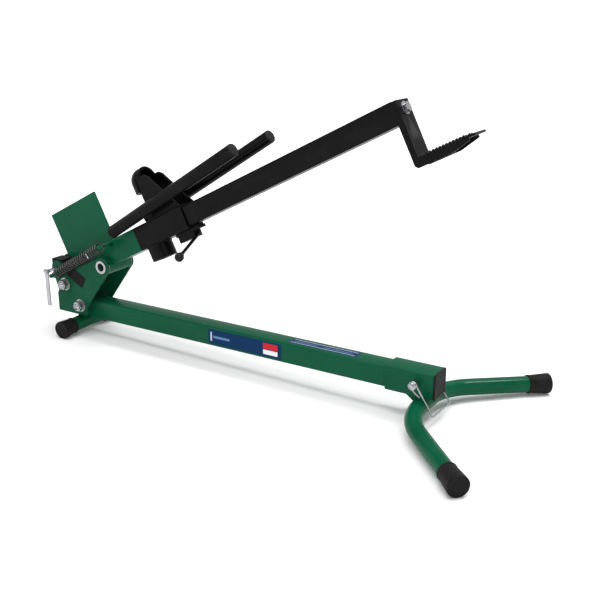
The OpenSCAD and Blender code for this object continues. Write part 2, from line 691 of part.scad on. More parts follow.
// Arch that carries the dome on over the ears' inner faces.
hood_over = 14;
module hood_crown() color(paint_black) on_arm() translate([0, 0, hood_z])
    along_x(hood_x, hood_x + hood_over) difference() {
        circle(hood_r);
        circle(hood_r - hood_wall);
        translate([-2 * hood_r, -2 * hood_r]) square([4 * hood_r, 2 * hood_r]);
        for (y0 = [-slider_half - 2 * ear_t, slider_half - ear_t])
            translate([y0, -past]) square([3 * ear_t, slider_half + ear_h - hood_z + past]);
    }
// The far rod lies on the same line as the near one, rod_stagger further forward.
module rod_line(side) on_arm() translate([rod_back, side * rod_y, rod_start_z])
    rotate([0, -rod_slope, 0]) children();
module rod_place(side) rod_line(side) translate([side > 0 ? rod_stagger : 0, 0, 0]) children();
module side_rod(side) color(paint_black) rod_place(side) difference() {
    rod_x(rod_r, 0, rod_len);
    rod_x(rod_r - rod_wall, -past, rod_len + past);
}
module side_rod_near() side_rod(-1);
module side_rod_far() side_rod(1);
module rod_end_plugs() color(rubber_black) for (side = [-1, 1]) rod_place(side) {
    rod_x(rod_r, -3, 0);
    rod_x(rod_r - rod_wall, 0, 10);
    rod_x(rod_r, rod_len, rod_len + 3);
    rod_x(rod_r - rod_wall, rod_len - 10, rod_len);
}
module rod_saddles() color(paint_black) for (side = [-1, 1]) difference() {
    intersection() {
        rod_line(side) translate([hood_x - rod_back + 14, -rod_y, -saddle_h / 2])
            cube([62, 2 * rod_y, saddle_h]);
        on_arm() scale([1, side, 1]) translate([0, slider_half, 0])
            cube([arm_len, rod_y - slider_half - 3, slider_w * 2]);
    }
    rod_place(side) rod_x(rod_r, 0, rod_len);
}
module socket_boss() color(paint_black) on_arm()
    translate([socket_x, 0, -slider_half - socket_len]) difference() {
        cylinder(r = socket_d / 2, h = socket_len);
        translate([0, 0, -past]) cylinder(r = socket_bore / 2, h = socket_len + 2 * past);
    }
module clamp_plate() color(paint_black) on_arm() difference() {
    translate([clamp_back - 5, -clamp_w / 2, -slider_half - clamp_t])
        cube([slider_front + 18 - clamp_back + 5, clamp_w, clamp_t]);
    translate([pin_x, 0, -slider_w]) cylinder(r = pin_r + run_fit, h = slider_w);
}
module clamp_block() color(paint_black) on_arm() difference() {
    translate([clamp_back, -clamp_w / 2, -slider_half - clamp_t - block_h])
        cube([slider_front - 2 - clamp_back, clamp_w, block_h]);
    translate([0, 0, shaft_z]) rod_x(shaft_r + run_fit, clamp_back - past, slider_front);
    translate([pin_x, 0, shaft_z]) cylinder(r = pin_r + run_fit, h = block_h);
}
module clamp_pin() color(zinc) on_arm()
    translate([pin_x, 0, shaft_z + shaft_r + slack])
        cylinder(r = pin_r, h = -arm_half - slack - shaft_z - shaft_r - slack);
module lever_place() on_arm() translate([lever_x, 0, shaft_z]) children();
module clamp_lever() color(paint_black) lever_place() {
    rod_x(shaft_r, clamp_back + 4 - lever_x, 0);
    sphere(shaft_r);
    rotate([lever_dip, 0, 0]) rod_y(lever_d / 2, -lever_len, 0);
}
module lever_knob() color(rubber_black) lever_place() rotate([lever_dip, 0, 0]) difference() {
    translate([0, -lever_len, 0]) sphere(knob_d / 2);
    rod_y(lever_d / 2, -lever_len, 0);
}

// ---- return spring ----
spring_y = -cheek_out - 15;
function arm_point(s, n) = [s * cos(arm_tilt) - n * sin(arm_tilt), s * sin(arm_tilt) + n * cos(arm_tilt)];
post_upper_at = arm_point(post_up.x, post_up.y + arm_rise);
spring_dir = unit(post_upper_at - post_at);
spring_span = norm(post_upper_at - post_at);
hook_r = (post_d + spring_wire) / 2 + 0.5;
hook_gap = hook_r + 17;
coil_steps = 12;
// Point of the spring: along the line of the posts, across it in the XZ plane, and sideways.
function spring_point(along, across, y) = [
    post_at.x + along * spring_dir.x - across * spring_dir.y, spring_y + y,
    post_at.y + along * spring_dir.y + across * spring_dir.x];
spring_path = concat(
    [for (a = [330 : -23 : 100]) spring_point(hook_r * cos(a), hook_r * sin(a), 0)],
    [for (i = [0 : coil_turns * coil_steps]) let (f = i / (coil_turns * coil_steps), a = 360 * i / coil_steps)
        spring_point(hook_gap + f * (spring_span - 2 * hook_gap),
            cos(a) * coil_d / 2, sin(a) * coil_d / 2)],
    [for (a = [80 : -23 : -150]) spring_point(spring_span + hook_r * cos(a), hook_r * sin(a), 0)]);
// Tangent and carried-along normal at each point of a path.
function path_frames(p) = [for (
    i = 0, t = unit(p[1] - p[0]), u = unit(cross(t, [0, 1, 0]));
    i < len(p);
    i = i + 1, t = unit(p[min(i + 1, len(p) - 1)] - p[max(i - 1, 0)]), u = unit(u - (u * t) * t))
    [t, u]];
module swept_wire(p, r, sides) {
    f = path_frames(p);
    n = len(p);
    polyhedron(
        points = [for (i = [0 : n - 1]) for (k = [0 : sides - 1])
            p[i] + r * (cos(360 * k / sides) * f[i][1] + sin(360 * k / sides) * cross(f[i][0], f[i][1]))],
        faces = concat(
            [[for (k = [0 : sides - 1]) k]],
            [[for (k = [sides - 1 : -1 : 0]) (n - 1) * sides + k]],
            [for (i = [0 : n - 2]) for (k = [0 : sides - 1])
                let (a = i * sides + k, b = i * sides + (k + 1) % sides)
                [a, a + sides, b + sides, b]]));
}
module return_spring() color([0.1, 0.1, 0.1]) at_pivot() swept_wire(spring_path, spring_wire / 2, 6);

base_tube();
front_sleeve();
front_end_cap();
rear_end_cap();
front_gusset();
front_leg_core();
front_bend_near();
front_bend_far();
front_leg_near();
front_leg_far();
front_foot_near();
front_foot_far();
rear_leg_near();
rear_leg_far();
rear_foot_near();
rear_foot_far();
cheek_near();
cheek_far();
pivot_bush();
thrust_washers();
tower_bolts();
tower_nuts();
tower_washers();
tower_spacers();
heel_buffer();
notch_buffer();
spring_post_lower();
side_label();
top_label();
lock_pin();
lock_bail();
hitch_pin();
hitch_rivet();
hitch_handle();
stub_tube();
pivot_barrel();
arm_tube();
fin_plate();
spring_post_upper();
arm_end_plug();
pedal_bracket();
pedal_bolt();
pedal_washer();
slider_sleeve();
ear_near();
ear_far();
claw_hood();
hood_crown();
side_rod_near();
side_rod_far();
rod_end_plugs();
rod_saddles();
socket_boss();
clamp_plate();
clamp_block();
clamp_pin();
clamp_lever();
lever_knob();
return_spring();
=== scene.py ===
import bmesh
import bpy
import json
import math
import numpy as np
from mathutils import Matrix


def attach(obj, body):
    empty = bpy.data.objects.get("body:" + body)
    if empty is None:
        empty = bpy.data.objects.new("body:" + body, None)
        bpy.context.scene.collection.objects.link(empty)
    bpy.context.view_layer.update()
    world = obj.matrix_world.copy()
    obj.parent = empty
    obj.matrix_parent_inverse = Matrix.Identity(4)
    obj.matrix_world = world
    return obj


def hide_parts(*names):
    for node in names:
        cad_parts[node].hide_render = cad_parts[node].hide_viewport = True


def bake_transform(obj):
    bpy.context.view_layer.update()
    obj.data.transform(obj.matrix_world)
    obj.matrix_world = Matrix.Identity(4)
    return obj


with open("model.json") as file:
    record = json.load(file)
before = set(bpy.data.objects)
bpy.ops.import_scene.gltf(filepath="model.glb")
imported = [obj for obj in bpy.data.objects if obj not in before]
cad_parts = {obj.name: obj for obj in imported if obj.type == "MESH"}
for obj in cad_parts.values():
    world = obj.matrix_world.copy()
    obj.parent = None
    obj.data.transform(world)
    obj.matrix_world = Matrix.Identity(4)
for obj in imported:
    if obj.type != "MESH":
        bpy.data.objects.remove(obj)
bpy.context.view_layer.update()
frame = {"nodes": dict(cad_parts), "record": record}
nodes = frame["nodes"]
record = frame["record"]
jointOf = {j["name"]: j for j in record["behaviour"]["joints"]}
bodyOf = {n: b for b, names in record["behaviour"]["bodies"].items() for n in names}
slotOf = {s["node"]: s["material_slot"] for s in record["subparts"]}
print("frame loaded:", len(nodes), "nodes")

# Two sets of axes: the base leans nose-up by a fraction of a degree, the arm rises from the hinge.
layout = {"pivotRise": 0.131, "armRise": 0.0249}
pivot = np.array(jointOf["arm_pivot"]["pos_m"], float)
armDir = np.array(jointOf["slider_travel"]["axis"], float)
baseDir = -np.array(jointOf["handle_swing"]["axis"], float)
sideDir = np.array([0.0, 1.0, 0.0])
armUp = np.cross(armDir, sideDir)
baseUp = np.cross(baseDir, sideDir)


def placed(origin, ex, ey, ez, p):
    # P = O + x X + y Y + z Z, for a whole array of points at once
    p = np.asarray(p, float)
    return origin + p[..., 0:1] * ex + p[..., 1:2] * ey + p[..., 2:3] * ez


def onBase(p):  # x from the hinge, z from the base tube's axis
    return placed(pivot - layout["pivotRise"] * baseUp, baseDir, sideDir, baseUp, p)


def onTower(p):  # x and z from the hinge
    return placed(pivot, baseDir, sideDir, baseUp, p)


def onArm(p):  # x along the arm from the hinge, z from the arm's axis
    return placed(pivot + layout["armRise"] * armUp, armDir, sideDir, armUp, p)


# camera, floor and light
studio = {"lens": 52.3, "camera": (1.5663, -1.6134, 0.7563), "turn": 31.675, "tip": 71.672,
          "skyStrength": 0.36, "floorRadius": 24.0, "floorRise": 7.0,
          "floorDark": (0.9, 0.9, 0.9), "floorLight": (0.94, 0.94, 0.94), "floorRough": 0.85,
          "floorGlow": 0.86, "glowFrom": 0.95, "glowTo": 3.4,
          # each light: where it hangs, what it faces, its diameter and its power
          "lights": {"topLight": ((0.0, -0.2, 3.2), (0.0, 0.0, 0.0), 3.5, 104.0),
                     "keyLight": ((-0.9, -2.6, 2.9), (0.0, 0.0, 0.2), 2.2, 20.0),
                     "fillLight": ((2.9, -1.6, 1.6), (0.1, 0.0, 0.2), 2.0, 9.0),
                     "rimLight": ((0.6, 2.4, 2.6), (0.0, 0.0, 0.3), 1.8, 14.0),
                     "streakLight": ((1.3, 0.95, 2.4), (0.5, 0.0, 0.0), 0.5, 24.0)}}


def addCamera():  # place = the given point in the base's axes, aim = lean x turn x tip
    data = bpy.data.cameras.new("studioCamera")
    data.lens = studio["lens"]
    data.sensor_width = 36.0
    data.clip_end = 200.0
    cam = bpy.data.objects.new("studioCamera", data)
    bpy.context.scene.collection.objects.link(cam)
    aim = Matrix.Rotation(-math.atan2(baseDir[2], baseDir[0]), 4, "Y")
    aim = aim @ Matrix.Rotation(math.radians(studio["turn"]), 4, "Z")
    aim = aim @ Matrix.Rotation(math.radians(studio["tip"]), 4, "X")
    cam.matrix_world = Matrix.Translation(onBase(studio["camera"])) @ aim
    bpy.context.scene.camera = cam


def addLight(name, place, target, size, power):
    # tip = atan2(level distance, height), turn = the level heading from the target to the light
    data = bpy.data.lights.new(name, "AREA")
    data.shape = "DISK"
    data.size = size
    data.energy = power
    lamp = bpy.data.objects.new(name, data)
    bpy.context.scene.collection.objects.link(lamp)
    away = np.asarray(place, float) - np.asarray(target, float)
    lamp.rotation_euler = (math.atan2(math.hypot(away[0], away[1]), away[2]), 0.0,
                           math.atan2(away[0], -away[1]))
    lamp.location = place


def addStudio():
    # the floor is a wide disc that curves up far out on all sides: z = h (r / R)^6
    r = np.linspace(0.0, 1.0, 40)[1:, None]
    v = np.linspace(0.0, 2 * math.pi, 96, endpoint=False)[None, :]
    wide = studio["floorRadius"] * r
    points = np.stack([wide * np.cos(v), wide * np.sin(v), 0.0 * v + studio["floorRise"] * r ** 6], -1)
    floor = gridPiece("studioFloor", points, capStart=True, outward=False)
    floor.data.materials.append(floorFinish())
    world = bpy.data.worlds.new("studioSky")
    world.use_nodes = True
    sky = world.node_tree.nodes["Background"]
    sky.inputs[0].default_value = (1.0, 1.0, 1.0, 1.0)
    sky.inputs[1].default_value = studio["skyStrength"]
    bpy.context.scene.world = world
    for name, (place, target, size, power) in studio["lights"].items():
        addLight(name, place, target, size, power)
    bpy.context.scene.view_settings.view_transform = "Standard"


# meshes from grids of points
def gridPiece(name, points, closeU=False, closeV=True, capStart=False, capEnd=False,
              outward=True, uv=False):
    # quad k joins points (i, j), (i + 1, j), (i + 1, j + 1), (i, j + 1)
    # a cap fans from its ring to the ring's middle
    nu, nv = points.shape[:2]
    i = np.arange(nu if closeU else nu - 1)[:, None]
    j = np.arange(nv if closeV else nv - 1)[None, :]
    a, b = i * nv + j, ((i + 1) % nu) * nv + j
    c, d = ((i + 1) % nu) * nv + (j + 1) % nv, i * nv + (j + 1) % nv
    quads = np.stack([a, b, c, d], -1).reshape(-1, 4)
    verts = points.reshape(-1, 3)
    ring, nextRing = np.arange(nv), (np.arange(nv) + 1) % nv
    caps = []
    if capStart:
        caps.append(np.stack([np.full(nv, len(verts)), ring, nextRing], -1))
        verts = np.vstack([verts, points[0].mean(0)])
    if capEnd:
        last = (nu - 1) * nv
        caps.append(np.stack([np.full(nv, len(verts)), last + nextRing, last + ring], -1))
        verts = np.vstack([verts, points[-1].mean(0)])
    tris = np.concatenate(caps) if caps else np.zeros((0, 3), int)
    if outward:  # signed volume: V = sum of p0 . (p1 x p2) / 6 over the triangles
        middle = verts.mean(0)
        t = np.concatenate([quads[:, [0, 1, 2]], quads[:, [0, 2, 3]], tris])
        p = verts[t] - middle
        if np.einsum("ij,ij->i", p[:, 0], np.cross(p[:, 1], p[:, 2])).sum() < 0:
            quads, tris = quads[:, ::-1], tris[:, ::-1]
    mesh = bpy.data.meshes.new(name)
    mesh.from_pydata(verts.tolist(), [], quads.tolist() + tris.tolist())
    mesh.polygons.foreach_set("use_smooth", np.ones(len(mesh.polygons), bool))
    mesh.set_sharp_from_angle(angle=math.radians(40))
    if uv:
        layer = mesh.uv_layers.new(name="along")
        loops = np.zeros(len(mesh.loops), int)
        mesh.loops.foreach_get("vertex_index", loops)
        u, v = np.meshgrid(np.linspace(0, 1, nu), np.linspace(0, 1, nv), indexing="ij")
        layer.data.foreach_set("uv", np.stack([u, v], -1).reshape(-1, 2)[loops].ravel())
    piece = bpy.data.objects.new(name, mesh)
    bpy.context.scene.collection.objects.link(piece)
    return piece


def unit(v):  # v / |v|
    return v / np.maximum(np.linalg.norm(v, axis=-1, keepdims=True), 1e-12)


def softPath(corners, step, rounding):
    # the polyline at even steps, then a moving mean of 2 m + 1 points that keeps both ends
    corners = np.asarray(corners, float)
    run = np.concatenate([[0], np.cumsum(np.linalg.norm(np.diff(corners, axis=0), axis=1))])
    s = np.linspace(0, run[-1], max(int(run[-1] / step), 8))
    p = np.stack([np.interp(s, run, corners[:, k]) for k in range(3)], -1)
    m = max(int(rounding / step), 1)
    for _ in range(2):
        padded = np.concatenate([2 * p[:1] - p[m:0:-1], p, 2 * p[-1:] - p[-2:-m - 2:-1]])
        kernel = np.ones(2 * m + 1) / (2 * m + 1)
        p = np.stack([np.convolve(padded[:, k], kernel, "valid") for k in range(3)], -1)
    return p


def roundAlong(path, radius, across, sides=28):
    # P(u, v) = C(u) + r(u) (N(u) cos v + B(u) sin v)
    # N is the part of "across" that stands square to the path, B is square to both
    along = unit(np.gradient(path, axis=0))
    across = np.broadcast_to(np.asarray(across, float), path.shape)
    n = unit(across - (across * along).sum(-1, keepdims=True) * along)
    b = np.cross(along, n)
    v = np.linspace(0, 2 * math.pi, sides, endpoint=False)[None, :, None]
    r = np.broadcast_to(np.asarray(radius, float), len(path))[:, None, None]
    return path[:, None] + r * (n[:, None] * np.cos(v) + b[:, None] * np.sin(v))


def steadyAcross(path, spare):
    # A = Y (1 - k) + S k, k = |T . Y|: the side direction, or the spare one where the wire runs sideways
    k = np.abs(unit(np.gradient(path, axis=0)) @ sideDir)[:, None]
    return sideDir * (1 - k) + spare * k


def turned(profile, origin, axis, sides=56):
    # a profile spun about an axis: P(u, v) = O + h(u) A + r(u) (E1 cos v + E2 sin v)
    axis = unit(np.asarray(axis, float))
    e1 = unit(np.cross(axis, [0.31, 0.22, 0.93]))
    e2 = np.cross(axis, e1)
    h, r = np.asarray(profile, float).T
    v = np.linspace(0, 2 * math.pi, sides, endpoint=False)[None, :, None]
    h, r = h[:, None, None], r[:, None, None]
    return np.asarray(origin, float) + h * axis + r * (e1 * np.cos(v) + e2 * np.sin(v))


def squareLoop(stations, place, cornerSteps=7):
    # P(u, v) = x(u) X + q(v)
    # q is the outline of a square of half width a(u) with corners of radius c(u)
    x, a, c = [np.asarray(k, float)[:, None] for k in np.asarray(stations, float).T]
    quarter = np.linspace(0, math.pi / 2, cornerSteps)
    angle = np.concatenate([quarter + k * math.pi / 2 for k in range(4)])[None, :]
    sx = np.repeat([1, -1, -1, 1], cornerSteps)[None, :]
    sy = np.repeat([1, 1, -1, -1], cornerSteps)[None, :]
    y, z = sx * (a - c) + c * np.cos(angle), sy * (a - c) + c * np.sin(angle)
    return place(np.stack([x + 0 * y, y, z], -1))


def wallStations(x0, x1, half, corner, wall, lip=0.0006):
    # outside from x0 to x1 with softened rims, then back along the bore: a closed wall
    bore = half - wall
    inner = max(corner - wall, 0.0008)
    return [(x0, bore, inner), (x0, half - lip, corner - lip), (x0 + lip, half, corner),
            (x1 - lip, half, corner), (x1, half - lip, corner - lip), (x1, bore, inner)]


def plainName(node):  # cheek_near becomes cheekNear
    first, *rest = node.split("_")
    return first + "".join(w.capitalize() for w in rest)


def finishPiece(piece, material, body, stands=()):
    # stands: the CAD nodes that this piece takes the place of
    piece.data.materials.clear()
    piece.data.materials.append(material)
    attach(piece, body)
    if stands:
        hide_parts(*stands)
    return piece


def cadPiece(node, material, rim=0.0, sharp=34.0):
    # a welded copy of a CAD node, shaded smooth over its curves, its rims bevelled by "rim" metres
    mesh = nodes[node].data.copy()
    bm = bmesh.new()
    bm.from_mesh(mesh)
    bmesh.ops.remove_doubles(bm, verts=bm.verts, dist=2e-6)
    if rim:
        bmesh.ops.dissolve_limit(bm, angle_limit=math.radians(0.3), verts=bm.verts, edges=bm.edges)
    bm.to_mesh(mesh)
    bm.free()
    mesh.polygons.foreach_set("use_smooth", np.ones(len(mesh.polygons), bool))
    mesh.set_sharp_from_angle(angle=math.radians(sharp))
    piece = bpy.data.objects.new(plainName(node), mesh)
    bpy.context.scene.collection.objects.link(piece)
    if rim:
        bevel = piece.modifiers.new("softRims", "BEVEL")
        bevel.width = rim
        bevel.segments = 2
        bevel.limit_method = "ANGLE"
        bevel.angle_limit = math.radians(42)
        bevel.use_clamp_overlap = False
    return finishPiece(piece, material, bodyOf[node], (node,))


# shared effects: node groups that put out masks, values and normals
def newGroup(name, ins, outs):  # an empty node group with its named inputs and outputs
    group = bpy.data.node_groups.new(name, "ShaderNodeTree")
    for label, kind, value in ins:
        sock = group.interface.new_socket(label, in_out="INPUT", socket_type=kind)
        if value is not None:
            sock.default_value = value
    for label, kind in outs:
        group.interface.new_socket(label, in_out="OUTPUT", socket_type=kind)
    start, end = group.nodes.new("NodeGroupInput"), group.nodes.new("NodeGroupOutput")
    return group, start, end


def mathNode(tree, kind, a, b=None, clamp=False):  # a and b are sockets or plain numbers
    node = tree.nodes.new("ShaderNodeMath")
    node.operation = kind
    node.use_clamp = clamp
    for k, value in enumerate([a, b]):
        if value is None:
            continue
        if isinstance(value, (int, float)):
            node.inputs[k].default_value = value
        else:
            tree.links.new(value, node.inputs[k])
    return node.outputs[0]


def rangeNode(tree, value, low, high, outLow=0.0, outHigh=1.0):
    # out = outLow + (outHigh - outLow) (value - low) / (high - low), kept between the two ends
    node = tree.nodes.new("ShaderNodeMapRange")
    node.inputs["From Min"].default_value, node.inputs["From Max"].default_value = low, high
    node.inputs["To Min"].default_value, node.inputs["To Max"].default_value = outLow, outHigh
    tree.links.new(value, node.inputs["Value"])
    return node.outputs["Result"]


def noiseNode(tree, place, scale, detail, rough=0.55):  # cloudy noise between 0 and 1
    node = tree.nodes.new("ShaderNodeTexNoise")
    node.inputs["Detail"].default_value, node.inputs["Roughness"].default_value = detail, rough
    if isinstance(scale, (int, float)):
        node.inputs["Scale"].default_value = scale
    else:
        tree.links.new(scale, node.inputs["Scale"])
    tree.links.new(place, node.inputs["Vector"])
    return node.outputs["Fac"]


def makeEdgeGroup():  # rounds the shading at rims and lightens rims, as patchy wear and as a painted highlight along edges
    # mask = how far the rounded normal leans from the flat one, times a patchy noise
    group, start, end = newGroup(
        "rimWear",
        [("Radius", "NodeSocketFloat", 0.001), ("Patchiness", "NodeSocketFloat", 60.0)],
        [("Normal", "NodeSocketVector"), ("Mask", "NodeSocketFloat")])
    soft = group.nodes.new("ShaderNodeBevel")
    soft.samples = 4
    group.links.new(start.outputs["Radius"], soft.inputs["Radius"])
    geo = group.nodes.new("ShaderNodeNewGeometry")
    dot = group.nodes.new("ShaderNodeVectorMath")
    dot.operation = "DOT_PRODUCT"
    group.links.new(soft.outputs[0], dot.inputs[0])
    group.links.new(geo.outputs["Normal"], dot.inputs[1])
    bend = rangeNode(group, dot.outputs["Value"], low=0.995, high=0.86)
    coords = group.nodes.new("ShaderNodeTexCoord").outputs["Object"]
    patch = noiseNode(group, coords, start.outputs["Patchiness"], detail=4.0)
    patch = rangeNode(group, patch, low=0.42, high=0.68)
    group.links.new(soft.outputs[0], end.inputs["Normal"])
    group.links.new(mathNode(group, "MULTIPLY", bend, patch, True), end.inputs["Mask"])
    return group


def makeGrainGroup():  # fine orange peel or casting grain, and slow cloudy variation
    group, start, end = newGroup(
        "surfaceGrain",
        [("Fine", "NodeSocketFloat", 900.0), ("Broad", "NodeSocketFloat", 9.0)],
        [("Height", "NodeSocketFloat"), ("Cloud", "NodeSocketFloat")])
    coords = group.nodes.new("ShaderNodeTexCoord").outputs["Object"]
    fine = noiseNode(group, coords, start.outputs["Fine"], detail=3.0)
    broad = noiseNode(group, coords, start.outputs["Broad"], detail=5.0)
    group.links.new(fine, end.inputs["Height"])
    group.links.new(rangeNode(group, broad, low=0.32, high=0.68), end.inputs["Cloud"])
    return group


def makeDustGroup():  # pale dust in patches: mask = cloud of the noise times the amount
    group, start, end = newGroup(
        "dustFilm",
        [("Scale", "NodeSocketFloat", 14.0), ("Amount", "NodeSocketFloat", 0.2)],
        [("Mask", "NodeSocketFloat")])
    coords = group.nodes.new("ShaderNodeTexCoord").outputs["Object"]
    cloud = noiseNode(group, coords, start.outputs["Scale"], detail=8.0, rough=0.7)
    cloud = rangeNode(group, cloud, low=0.5, high=0.8)
    mask = mathNode(group, "MULTIPLY", cloud, start.outputs["Amount"], True)
    group.links.new(mask, end.inputs["Mask"])
    return group


rimWear, surfaceGrain, dustFilm = makeEdgeGroup(), makeGrainGroup(), makeDustGroup()


def useGroup(tree, group, **values):  # one copy of a shared effect, with its own values
    node = tree.nodes.new("ShaderNodeGroup")
    node.node_tree = group
    for key, value in values.items():
        node.inputs[key].default_value = value
    return node


def mixColour(tree, mask, a, b):  # colour = a (1 - mask) + b mask
    node = tree.nodes.new("ShaderNodeMix")
    node.data_type = "RGBA"
    for key, value in ((0, mask), (6, a), (7, b)):
        if isinstance(value, tuple):
            node.inputs[key].default_value = (*value, 1.0)
        elif isinstance(value, float):
            node.inputs[key].default_value = value
        else:
            tree.links.new(value, node.inputs[key])
    return node.outputs[2]


def makeFinish(name, f):
    # colour = dark to light by the cloud, then dust, then the lighter rim tone: worn paint in patches and
    # a painted highlight along edges
    # roughness = rough +- roughSpread by the cloud, plus 0.3 of the dust
    material = bpy.data.materials.new(name)
    material.use_nodes = True
    tree = material.node_tree
    shader = tree.nodes["Principled BSDF"]
    grain = useGroup(tree, surfaceGrain, Fine=f["fine"], Broad=f["broad"])
    rim = useGroup(tree, rimWear, Radius=f["rim"], Patchiness=f["patch"])
    dust = useGroup(tree, dustFilm, Scale=f["dustScale"], Amount=f["dust"])
    colour = mixColour(tree, grain.outputs["Cloud"], f["dark"], f["light"])
    colour = mixColour(tree, dust.outputs["Mask"], colour, f["dustColour"])
    # the lighter tone at rims is patchy wear and also a painted highlight along the edges
    highlightAndWornMask = mathNode(tree, "MULTIPLY", rim.outputs["Mask"], f["wear"], True)
    colour = mixColour(tree, highlightAndWornMask, colour, f["worn"])
    tree.links.new(colour, shader.inputs["Base Color"])
    rough = rangeNode(tree, grain.outputs["Cloud"], 0, 1,
                      f["rough"] - f["roughSpread"], f["rough"] + f["roughSpread"])
    rough = mathNode(tree, "ADD", rough, mathNode(tree, "MULTIPLY", dust.outputs["Mask"], 0.3), True)
    tree.links.new(rough, shader.inputs["Roughness"])
    shader.inputs["Metallic"].default_value = f["metal"]
    shader.inputs["Coat Weight"].default_value = f["coat"]
    shader.inputs["Coat Roughness"].default_value = f["coatRough"]
    shader.inputs["Specular IOR Level"].default_value = f["specular"]
    bump = tree.nodes.new("ShaderNodeBump")
    bump.inputs["Strength"].default_value = f["bump"]
    bump.inputs["Distance"].default_value = f["bumpDepth"]
    tree.links.new(grain.outputs["Height"], bump.inputs["Height"])
    tree.links.new(rim.outputs["Normal"], bump.inputs["Normal"])
    tree.links.new(bump.outputs["Normal"], shader.inputs["Normal"])
    return material


# each finish's rim tone is lighter than its paint: worn patches and a painted highlight along edges
greenPaint = {"dark": (0.0012, 0.064, 0.030), "light": (0.002, 0.080, 0.038), "worn": (0.03, 0.19, 0.125),
              "rough": 0.3, "roughSpread": 0.04, "metal": 0.0, "specular": 0.03,
              "coat": 0.12, "coatRough": 0.08,
              "fine": 420.0, "broad": 7.0, "bump": 0.16, "bumpDepth": 0.0006,
              "rim": 0.0012, "patch": 45.0, "wear": 0.45,
              "dust": 0.035, "dustScale": 12.0, "dustColour": (0.2, 0.27, 0.23)}
blackPaint = {**greenPaint,
              "dark": (0.0018, 0.0018, 0.002), "light": (0.0036, 0.0036, 0.0038),
              "worn": (0.07, 0.07, 0.073),
              "rough": 0.36, "coat": 0.1, "coatRough": 0.12, "wear": 0.6,
              "dust": 0.04, "dustColour": (0.1, 0.1, 0.1)}
zincPlate = {**greenPaint,
             "dark": (0.34, 0.345, 0.36), "light": (0.44, 0.445, 0.465), "worn": (0.75, 0.75, 0.78),
             "rough": 0.24, "roughSpread": 0.05, "metal": 0.92, "specular": 0.5, "coat": 0.0,
             "fine": 700.0, "broad": 26.0, "bump": 0.08, "rim": 0.0006, "wear": 0.3,
             "dust": 0.04, "dustScale": 30.0, "dustColour": (0.45, 0.45, 0.43)}
springWire = {**zincPlate,
              "dark": (0.003, 0.003, 0.003), "light": (0.006, 0.0058, 0.0058), "worn": (0.08, 0.08, 0.08),
              "rough": 0.2, "metal": 0.0, "specular": 0.4, "coat": 0.5, "coatRough": 0.06, "dust": 0.0}
footRubber = {**greenPaint,
              "dark": (0.0045, 0.0046, 0.0046), "light": (0.0085, 0.0087, 0.0086),
              "worn": (0.035, 0.035, 0.035),
              "rough": 0.62, "specular": 0.1, "coat": 0.0,
              "fine": 260.0, "broad": 30.0, "bump": 0.25, "bumpDepth": 0.0005, "rim": 0.0008,
              "dust": 0.16, "dustScale": 35.0, "dustColour": (0.07, 0.07, 0.067)}
capPlastic = {**footRubber,
              "dark": (0.008, 0.0078, 0.0078), "light": (0.014, 0.0135, 0.0135),
              "rough": 0.46, "fine": 600.0, "bump": 0.14, "dust": 0.12}
finishes = {"green_paint": makeFinish("greenPaint", greenPaint),
            "black_paint": makeFinish("blackPaint", blackPaint),
            "zinc": makeFinish("zincPlate", zincPlate),
            "rubber": makeFinish("footRubber", footRubber),
            "black_plastic": makeFinish("capPlastic", capPlastic),
            "spring_steel": makeFinish("springWire", springWire)}


def floorFinish():  # a nearly white floor, faintly clouded
    material = bpy.data.materials.new("studioFloorFinish")
    material.use_nodes = True
    tree = material.node_tree
    shader = tree.nodes["Principled BSDF"]
    coords = tree.nodes.new("ShaderNodeTexCoord").outputs["Object"]
    cloud = rangeNode(tree, noiseNode(tree, coords, scale=1.4, detail=3.0), low=0.3, high=0.7)
    colour = mixColour(tree, cloud, studio["floorDark"], studio["floorLight"])
    tree.links.new(colour, shader.inputs["Base Color"])
    shader.inputs["Roughness"].default_value = studio["floorRough"]
    shader.inputs["Specular IOR Level"].default_value = 0.1
    # glow with distance from the middle: the far floor and its rise read as one plain white
    middle = tree.nodes.new("ShaderNodeVectorMath")
    middle.operation = "LENGTH"
    tree.links.new(coords, middle.inputs[0])
    glow = rangeNode(tree, middle.outputs["Value"], studio["glowFrom"], studio["glowTo"],
                     0.0, studio["floorGlow"])
    shader.inputs["Emission Color"].default_value = (1.0, 1.0, 1.0, 1.0)
    tree.links.new(glow, shader.inputs["Emission Strength"])
    return material


addStudio()
addCamera()
print("studio ready")

# tubes of the base, the arm and the slider
# each tube: where it starts and ends along its axis, half its width, its wall
tubes = {"base": (-0.164, 0.895, 0.025, 0.003), "sleeve": (0.805, 0.919, 0.029, 0.0037),
         "stub": (-0.052, 0.137, 0.03, 0.0049), "arm": (0.038, 0.914, 0.025, 0.003),
         "slider": (0.1373, 0.3073, 0.03, 0.0046),
         "corner": 0.004, "stubCorner": 0.005, "sleeveLift": 0.0003}


def raisedBase(p):  # the front sleeve sits this much above the base tube's axis
    return onBase(p + np.array([0.0, 0.0, tubes["sleeveLift"]]))


def buildSquareTubes():
    # every tube is one closed wall: a square outline carried along its axis, out and back through the bore
    green, black = finishes["green_paint"], finishes["black_paint"]
    for name, tube, corner, place, finish, node in (
            ("baseTube", "base", "corner", onBase, green, "base_tube"),
            ("frontSleeve", "sleeve", "corner", raisedBase, green, "front_sleeve"),
            ("stubTube", "stub", "stubCorner", onArm, green, "stub_tube"),
            ("armTube", "arm", "corner", onArm, black, "arm_tube"),
            ("sliderSleeve", "slider", "corner", onArm, black, "slider_sleeve")):
        x0, x1, half, wall = tubes[tube]
        points = squareLoop(wallStations(x0, x1, half, tubes[corner], wall), place)
        finishPiece(gridPiece(name, points, closeU=True), finish, bodyOf[node], (node,))


frontCap = {"start": 0.919, "thick": 0.005, "half": 0.029, "crown": 0.0012, "corner": 0.004,
            "faceCorner": 0.0038, "dishRim": 0.004, "dishDeep": 0.0005}


